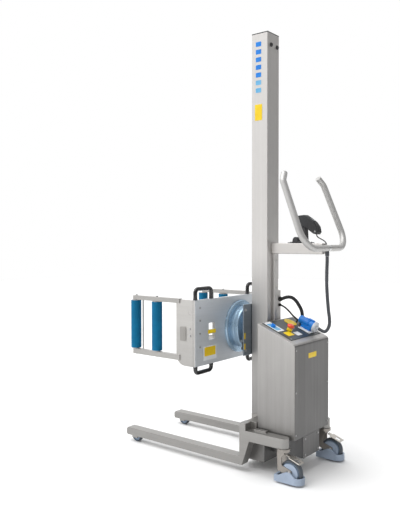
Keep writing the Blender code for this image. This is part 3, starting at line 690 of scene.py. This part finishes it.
def make_mast():
    finished("mast_column", STEEL_UP, 0.0010)
    finished("mast_cap", BLACK, 0.0010)
    finished("rear_duct", STEEL_UP, 0.0012)
    finished("side_junction", STEEL_UP, 0.0015)
    motor = softened([(0, 0.2706), (0.0400, 0.2706), (0.0400, 0.3500), (0.0300, 0.3600), (0.0300, 0.3720),
                      (0, 0.3720)], 0.002)
    piece("lift_motor_finished", turned(motor, Z, (0, 0, 0)), MOTOR, "chassis", ("lift_motor",))
    screw = thread(0.0100, 0.0016, 0.020, Z, (0, 0, 0), 0.3723, 2.400)
    piece("lift_screw_finished", screw, SHAFT, "lift_screw", ("lift_screw",))
    bolts("mast_head_bolts", [(0.025, 0.0535, 2.362), (-0.038, 0.0535, 2.360)], Y, 1, 0.0085, "chassis",
          BLACK)
    bolts("duct_screws", [(-0.006, 0.070, z) for z in (1.150, 0.995, 0.860)], Y, 1, 0.0032, "chassis",
          kind="round")
    corners = [(-0.0908, y, z) for y in (0.002, 0.038) for z in (0.806, 0.964)]
    bolts("junction_screws", corners, X, -1, 0.003, "chassis", kind="round")
    plate = rounded_plate((0.0607, -0.007, 1.986), (0.048, 0.090), X, 0.003, 0.0008)
    piece("mast_label", plate, YELLOW, "chassis")
    marks, pale_marks = [], []
    top_mark, mark_step = 2.368, 0.043
    for step in range(7):
        mark = rounded_plate((0.0607, -0.0075, top_mark - mark_step * step), (0.036, 0.026), X, 0.004, 0.0006)
        (marks if step < 5 else pale_marks).append(mark)
    piece("mast_marks", joined(*marks), BLUE, "chassis")
    piece("mast_marks_faded", joined(*pale_marks), LIGHT_BLUE, "chassis")
    for node, route, radius in (("mast_hose", HOSE_ROUTE, 0.0145), ("signal_cable", SIGNAL_ROUTE, 0.0085)):
        bore = radius * 0.72
        gland = softened([(bore, 0.0002), (radius, 0.0002), (radius, 0.0065), (radius * 0.82, 0.0105),
                          (bore, 0.0105)], 0.0008)
        x, y, z = route[0]
        face = (x, y - 0.0003, z)
        piece(node + "_gland", turned(gland, Y, face, 32), BLACK, "chassis")


def make_carriage():
    finished("carriage", CARRIAGE, 0.0012)
    axis = (0, 0, TURN_Z)
    housing = softened([(0.0, -0.0628), (0.0750, -0.0628), (0.0750, -0.1070), (0.1170, -0.1070),
                        (0.1230, -0.1120), (0.1230, -0.1345), (0.1205, -0.1360), (0.1205, -0.1385),
                        (0.1230, -0.1400), (0.1230, -0.1597), (0.0, -0.1597)], 0.0018)
    piece("turn_housing_finished", turned(housing, Y, axis, 96), DISC, "lift_carriage", ("turn_housing",),
          axis)
    flange = softened([(0.0, -0.1600), (0.1440, -0.1600), (0.1490, -0.1620), (0.1540, -0.1665),
                       (0.1540, -0.1767), (0.0, -0.1767)], 0.0012)
    piece("turn_flange_finished", turned(flange, Y, axis, 96), DISC, "clamp_head", ("turn_flange",),
          axis)
    corners = [(x, -0.0545, z) for x in (-0.120, 0.120) for z in (0.640, 0.870)]
    bolts("carriage_bolts", corners, Y, 1, 0.0058, "lift_carriage")
    knob = softened([(0, 0.6360), (0.0070, 0.6360), (0.0095, 0.6400), (0.0095, 0.6520), (0.0060, 0.6560),
                     (0.0060, 0.6700), (0.0050, 0.6720), (0.0050, 0.6815), (0, 0.6815)], 0.001)
    piece("lock_plunger_finished", turned(knob, Z, (0.100, -0.086, 0), 32), BLACK, "lock_plunger",
          ("lock_plunger",))
    for number, z in enumerate((0.722, 0.662)):
        plate = rounded_plate((0.127, -0.0546, z), (0.014, 0.034), Y, 0.001, 0.0007)
        piece(f"carriage_mark_{number + 1}", plate, YELLOW, "lift_carriage")


# ---------------------------------------------------------------- clamp

def mirrored_x(x, mirrored):
    return 2 * ARM_MID_X - x if mirrored else x


def plate_finish(arm):
    """The arm's plate is brighter than the rails welded to it."""
    arm.data.materials.append(STEEL_LONG)
    for face in arm.data.polygons:
        if face.normal.x > 0.9 and abs(face.center.x - PLATE_LEFT) < 0.0005:
            face.material_index = 1


def make_clamp():
    plate = finished("clamp_plate", STEEL_PLATE, 0.0012)
    plate.data.materials.append(STEEL_LONG)
    for face in plate.data.polygons:
        if face.normal.x > 0.9:
            face.material_index = 1
    finished("right_arm", STEEL_RAIL, 0.0014)
    left_arm = finished("left_arm", STEEL_RAIL, 0.0014)
    plate_finish(left_arm)
    for name, x in (("clamp_plate_screws", 0.380), ("clamp_plate_screws_right", -0.222)):
        column = [(x, PLATE_REAR, z) for z in (0.896, 0.825, 0.754, 0.680)]
        bolts(name, column, Y, 1, 0.0042, "clamp_head", kind="round")
    window = rounded_plate((0.2735, PLATE_REAR + 0.0002, 0.7565), (0.072, 0.022), Y, 0.002, 0.0007)
    piece("clamp_window_label", window, YELLOW, "clamp_head")
    lower = rounded_plate((0.2915, PLATE_REAR + 0.0002, 0.6395), (0.118, 0.079), Y, 0.003, 0.0006)
    piece("clamp_label_white", lower, WHITE, "clamp_head")
    upper = rounded_plate((0.2915, PLATE_REAR + 0.0008, 0.6480), (0.100, 0.050), Y, 0.003, 0.0006)
    piece("clamp_label_yellow", upper, YELLOW, "clamp_head")
    for word, mirrored, body in (("left", False, "left_jaw"), ("right", True, "clamp_head")):
        face = mirrored_x(PLATE_LEFT, mirrored)
        outward = -1 if mirrored else 1
        latch = rounded_plate((face + outward * 0.0002, -0.2615, 0.752), (0.043, 0.078), X, 0.006,
                              outward * 0.0030)
        slots = [rounded_plate((face + outward * 0.0030, -0.2615, z), (0.030, 0.004), X, 0.0018,
                               outward * 0.0009)
                 for z in (0.730, 0.741, 0.752, 0.763, 0.774)]
        piece(word + "_latch_plate", joined(latch, *slots), STEEL_DARK, body)
        screws = [(face, -0.214, 0.781), (face, -0.212, 0.744)]
        bolts(word + "_latch_screws", screws, X, outward, 0.0048, body)
        roller_x = mirrored_x(ROLLER_X, mirrored)
        for end, height, direction in (("top", 0.944, 1), ("low", 0.603, -1)):
            heads = [(roller_x, y, height) for y in (RAIL_FRONT + 0.012, ROLLER_YS["rear"])]
            bolts(f"{word}_roller_bolts_{end}", heads, Z, direction, 0.0055, body, kind="round")
        for place_name, y in ROLLER_YS.items():
            make_roller(f"{word}_{place_name}_roller", roller_x, y)


def make_roller(node, x, y):
    """A rubber-sleeved roller between two steel end discs."""
    centre = (x, y, 0)
    sleeve = softened([(0, 0.6370), (0.0285, 0.6370), (0.0300, 0.6390), (0.0300, 0.9130), (0.0285, 0.9150),
                       (0, 0.9150)], 0.0015, 4)
    piece(node + "_sleeve", turned(sleeve, Z, centre, 64), TEAL, node, (node,), centre)
    caps = [turned(softened([(0, a), (0.0255, a), (0.0255, b), (0, b)], 0.0008), Z, centre, 48)
            for a, b in ((0.6338, 0.6369), (0.9151, 0.9182))]
    piece(node + "_ends", joined(*caps), SCREW_METAL, node, pivot=centre)


def arc_path(corners, radii, steps=12):
    """The corners of a bent tube joined by straights, each inner corner turned by an arc."""
    points = [Vector(corners[0])]
    for before, corner, after, radius in zip(corners, corners[1:], corners[2:], radii):
        corner = Vector(corner)
        back = (Vector(before) - corner).normalized()
        onward = (Vector(after) - corner).normalized()
        half = back.angle(onward) / 2
        centre = corner + (back + onward).normalized() * (radius / math.sin(half))
        start = corner + back * (radius / math.tan(half)) - centre
        end = corner + onward * (radius / math.tan(half)) - centre
        turn = start.angle(end)
        for step in range(steps + 1):
            share = step / steps
            points.append(centre + start * (math.sin((1 - share) * turn) / math.sin(turn))
                          + end * (math.sin(share * turn) / math.sin(turn)))
    points.append(Vector(corners[-1]))
    return points


def make_grab_handle(node, middle_x, foot_z, reach):
    half, radius, y = 0.070, 0.0115, -0.1846
    sign = 1 if reach > 0 else -1
    top = foot_z + reach
    corners = [(middle_x - half, y, foot_z), (middle_x - half, y, top), (middle_x + half, y, top),
               (middle_x + half, y, foot_z)]
    tube(node + "_finished", arc_path(corners, (0.022, 0.022)), radius, GLOSS, "clamp_head", (node,),
         10)
    feet = [turned(softened([(0, foot_z), (0.0126, foot_z), (0.0126, foot_z + sign * 0.008),
                             (0.0116, foot_z + sign * 0.010), (0, foot_z + sign * 0.010)], 0.0008), Z,
                   (middle_x + dx, y, 0), 32) for dx in (-half, half)]
    for data in feet:
        for vertex in data.verts:
            vertex.co.y = max(PLATE_FRONT - 0.003, min(PLATE_REAR + 0.003, vertex.co.y))
    piece(node + "_feet", joined(*feet), GLOSS, "clamp_head")


def make_squeeze_drive():
    centre = (0, SCREW_Y, SCREW_Z)
    screw = thread(0.0090, 0.0014, 0.010, X, centre, -0.2276, 0.4215)
    end = turned([(0, 0.4215), (0.0111, 0.4215), (0.0111, 0.4221), (0, 0.4221)], X, centre, 32)
    piece("squeeze_screw_end", end, STEEL_LONG, "squeeze_screw")
    piece("squeeze_screw_finished", screw, SHAFT, "squeeze_screw", ("squeeze_screw",), centre)
    gearbox = block((-0.200, -0.262, 0.742), (-0.150, PLATE_FRONT - 0.0003, 0.842), 0.005, 3)
    can = block((-0.150, -0.256, 0.748), (-0.064, PLATE_FRONT - 0.0003, 0.836), 0.008, 3)
    fins = [block((x, -0.262, 0.746), (x + 0.003, PLATE_FRONT - 0.001, 0.838), 0.001, 1)
            for x in (-0.142 + 0.010 * k for k in range(7))]
    cap = block((-0.0640, -0.252, 0.752), (-0.060, PLATE_FRONT - 0.001, 0.832), 0.0015, 2)
    piece("squeeze_motor_finished", joined(gearbox, can, *fins, cap), MOTOR, "clamp_head", ("squeeze_motor",))


# ---------------------------------------------------------------- cabinet and panel

def make_cabinet():
    # Painted shade: the cabinet's rear faces get the darker steel.
    paint_face_shade(finished("cabinet_shell", STEEL_UP, 0.0012))
    finished("cabinet_floor", STEEL_UP, 0.0006)
    finished("battery_pack", BLACK, 0.002)
    edges = [(x, 0.3055, z) for x in (0.176, -0.176) for z in (0.685, 0.461, 0.237)]
    bolts("cabinet_screws", edges, Y, 1, 0.0034, "chassis", kind="round")
    label = rounded_plate((0.0, 0.3056, 0.640), (0.088, 0.028), Y, 0.003, 0.0008)
    piece("cabinet_label", label, YELLOW, "chassis")


def slope_plate(name, x, along, size, material, height=0.0032, corner=0.003, thickness=0.0012):
    data = rounded_plate((0, 0, 0), size, Z, corner, thickness)
    return piece(name, on_slope(data, x, along, height), material, "chassis")


def make_panel():
    finished("control_panel", LAMINATE, 0.0008)
    slope_plate("switch_plate", 0.118, 0.062, (0.066, 0.104), WHITE)
    slope_plate("switch_inlay", 0.122, 0.066, (0.046, 0.072), LIGHT_BLUE, 0.0045, 0.004, 0.0010)
    slope_plate("yellow_plate", 0.095, 0.150, (0.062, 0.040), YELLOW)
    slope_plate("white_plate", 0.023, 0.165, (0.050, 0.036), WHITE)
    disc = softened([(0, 0), (0.038, 0), (0.038, 0.0020), (0.020, 0.0026), (0.020, 0.0016), (0, 0.0016)],
                    0.0006)
    disc = on_slope(turned(disc, Z, (0, 0, 0), 64), -0.075, 0.052, 0.0032)
    piece("yellow_disc", disc, YELLOW, "chassis")
    screws = joined(*(bolt((x, along, 0.0030), Z, 1, 0.0032, "round")
                      for x in (-0.162, 0.147) for along in (0.016, 0.199)))
    piece("panel_screws", on_slope(screws), SCREW_METAL, "chassis")
    stop_x, stop_along = 0.048, 0.122
    collar = softened([(0, 0.0033), (0.0150, 0.0033), (0.0150, 0.0150), (0.0130, 0.0180), (0, 0.0180)], 0.001)
    collar = on_slope(turned(collar, Z, (0, 0, 0), 48), stop_x, stop_along)
    piece("stop_collar_finished", collar, YELLOW, "chassis", ("stop_collar",))
    head = softened([(0, 0.0240), (0.0175, 0.0240), (0.0205, 0.0290), (0.0195, 0.0350), (0.0140, 0.0398),
                     (0, 0.0410)], 0.003, 4)
    head = on_slope(turned(head, Z, (0, 0, 0), 64), stop_x, stop_along)
    piece("stop_button_finished", head, RED, "stop_button", ("stop_button",))
    switch_x, switch_along = 0.128, 0.062
    knob = softened([(0, 0.0033), (0.0130, 0.0033), (0.0130, 0.0130), (0.0115, 0.0150), (0, 0.0150)], 0.001)
    grip = block((-0.0035, -0.0120, 0.0140), (0.0035, 0.0120, 0.0220), 0.0012, 3)
    switch = on_slope(joined(turned(knob, Z, (0, 0, 0), 48), grip), switch_x, switch_along)
    piece("main_switch_finished", switch, BLUE, "main_switch", ("main_switch",))
    make_inlet()
    gland = softened([(0.0102, 0), (0.0150, 0), (0.0150, -0.0100), (0.0138, -0.0120), (0.0138, -0.0220),
                      (0.0150, -0.0240), (0.0150, -0.0330), (0.0102, -0.0330)], 0.001)
    piece("hose_gland_nut", turned(gland, Z, HOSE_END, 48), BLACK, "chassis")


def make_inlet():
    """A round blue inlet on a white flange, with the pale cap and nut of the plug that is in it."""
    flange = block((-0.046, 0.112, 0.0033), (0.046, 0.190, 0.0080), 0.0018, 3)
    base = block((-0.022, 0.112, 0.0078), (0.022, 0.172, 0.030), 0.004, 3)
    piece("inlet_flange", on_slope(flange, PLUG_X), WHITE, "chassis", ("inlet_socket",))
    barrel = turned(softened([(0, 0.085), (0.0215, 0.085), (0.0235, 0.090), (0.0235, 0.118), (0.0265, 0.122),
                              (0.0265, 0.150), (0.0240, 0.153), (0.0240, 0.160), (0.0265, 0.163),
                              (0.0265, 0.182), (0, 0.182)], 0.0015), Y, (0, 0, PLUG_HEIGHT), 64)
    lid = block((-0.010, 0.138, PLUG_HEIGHT + 0.0235), (0.010, 0.176, PLUG_HEIGHT + 0.0300), 0.002, 3)
    piece("inlet_body", on_slope(joined(base, barrel, lid), PLUG_X), BLUE, "chassis")
    screws = joined(*(bolt((x, along, 0.0080), Z, 1, 0.0030, "round")
                      for x in (-0.038, 0.038) for along in (0.120, 0.182)))
    piece("inlet_screws", on_slope(screws, PLUG_X), SCREW_METAL, "chassis")
    plug = softened([(0, 0.1823), (0.0300, 0.1823), (0.0310, 0.1870), (0.0290, 0.1985), (0.0180, 0.2000),
                     (0.0115, 0.2015), (0.0115, 0.2130), (0, 0.2130)], 0.0012)
    plug = on_slope(turned(plug, Y, (0, 0, PLUG_HEIGHT), 64), PLUG_X)
    piece("cable_plug_finished", plug, PALE, "chassis", ("cable_plug",))


# ---------------------------------------------------------------- handle and pendant

def bar_y(z):
    """The handlebar lies in one plane that leans towards the mast as it rises."""
    lean, middle_y, middle_z = 0.397, 0.351, 1.33
    return middle_y - lean * (z - middle_z)


def make_handle():
    finished("handle_beam", STEEL_BEAM, 0.0020, segments=3)
    finished("handle_gland", CONDUIT, 0.0012)
    tip_z, bend_z, low_z, radius = 1.618, 1.577, 1.222, 0.0175
    corners = [(0.186, bar_y(tip_z), tip_z), (0.2260, bar_y(bend_z), bend_z), (0.2440, bar_y(low_z), low_z)]
    opposite = [(-x, y, z) for x, y, z in reversed(corners)]
    path = arc_path(corners + opposite, (0.030, 0.105, 0.105, 0.030), 16)
    tube("handlebar_finished", path, radius, STEEL_TUBE, "chassis", ("handlebar",), 12)
    ring = turned(softened([(radius + 0.0002, -0.0060), (radius + 0.0007, -0.0060), (radius + 0.0007, 0.0060),
                            (radius + 0.0002, 0.0060)], 0.0002), X, (-0.004, bar_y(low_z), low_z), 48)
    piece("conduit_clip", ring, SHAFT, "chassis")


def make_pendant():
    finished("pendant_holder", BLACK, 0.0014)
    finished("pendant", PENDANT, 0.0020, segments=3)
    finished("pendant_rocker", DARK_GREY, 0.0010)
    screws = [(0.026, y, z) for y, z in ((0.228, 1.386), (0.332, 1.312))]
    bolts("pendant_screws", screws, X, 1, 0.0028, "chassis", kind="round")
    bolts("holder_bolts", [(0.0, y, 1.2530) for y in (0.169, 0.297)], Z, 1, 0.004, "chassis", kind="round")


# ---------------------------------------------------------------- floor, light and world

def make_stage():
    data = bmesh.new()
    bmesh.ops.create_grid(data, x_segments=2, y_segments=2, size=14.0)
    mesh = bpy.data.meshes.new("floor")
    data.to_mesh(mesh)
    data.free()
    material = new_material("floor_pale", 0.75)
    tree = material.node_tree
    tone = noise(tree, coordinates(tree), 1.2, 4.0)
    tree.links.new(tinted(tree, tone, (0.83, 0.83, 0.83), (0.87, 0.87, 0.87)),
                   shader_of(tree).inputs["Base Color"])
    mesh.materials.append(material)
    floor = bpy.data.objects.new("floor", mesh)
    bpy.context.scene.collection.objects.link(floor)


def make_light():
    sun = bpy.data.lights.new("key_light", "SUN")
    sun.energy = 2.0
    sun.angle = math.radians(60)
    key = bpy.data.objects.new("key_light", sun)
    key.rotation_mode = "QUATERNION"
    key.rotation_quaternion = Vector((-0.36, 0.34, -1.0)).to_track_quat("-Z", "Y")
    bpy.context.scene.collection.objects.link(key)


def make_world():
    """A white studio: its light is brightest from the load side and falls off behind the operator."""
    world = bpy.data.worlds.new("studio")
    bpy.context.scene.world = world
    world.use_nodes = True
    tree = world.node_tree
    tree.nodes.clear()
    coords = tree.nodes.new("ShaderNodeTexCoord")
    split = tree.nodes.new("ShaderNodeSeparateXYZ")
    tree.links.new(coords.outputs["Generated"], split.inputs["Vector"])
    side = ranged(tree, split.outputs["Y"], -0.45, 0.55, 1.0, 0.13)
    overhead = ranged(tree, split.outputs["Z"], 0.0, 0.45, 0.0, 0.36)
    side = combined(tree, side, overhead)
    camera_light = tree.nodes.new("ShaderNodeLightPath")
    strength = tree.nodes.new("ShaderNodeMix")
    strength.data_type = "FLOAT"
    strength.inputs[3].default_value = 1.0
    tree.links.new(camera_light.outputs["Is Camera Ray"], strength.inputs[0])
    tree.links.new(side, strength.inputs[2])
    background = tree.nodes.new("ShaderNodeBackground")
    background.inputs["Color"].default_value = (1.0, 1.0, 1.0, 1.0)
    tree.links.new(strength.outputs[0], background.inputs["Strength"])
    output = tree.nodes.new("ShaderNodeOutputWorld")
    tree.links.new(background.outputs["Background"], output.inputs["Surface"])
    bpy.context.scene.view_settings.view_transform = "Standard"


# ---------------------------------------------------------------- build

make_camera()
make_cords()
make_base()
make_front_wheels()
make_caster(1, "left")
make_caster(-1, "right")
make_mast()
make_carriage()
make_clamp()
for word, middle_x in (("left", 0.341), ("right", -0.159)):
    make_grab_handle(word + "_upper_handle", middle_x, 0.9403, 0.0595)
    make_grab_handle(word + "_lower_handle", middle_x, 0.5747, -0.0345)
make_squeeze_drive()
make_cabinet()
make_panel()
make_handle()
make_pendant()
make_stage()
make_light()
make_world()
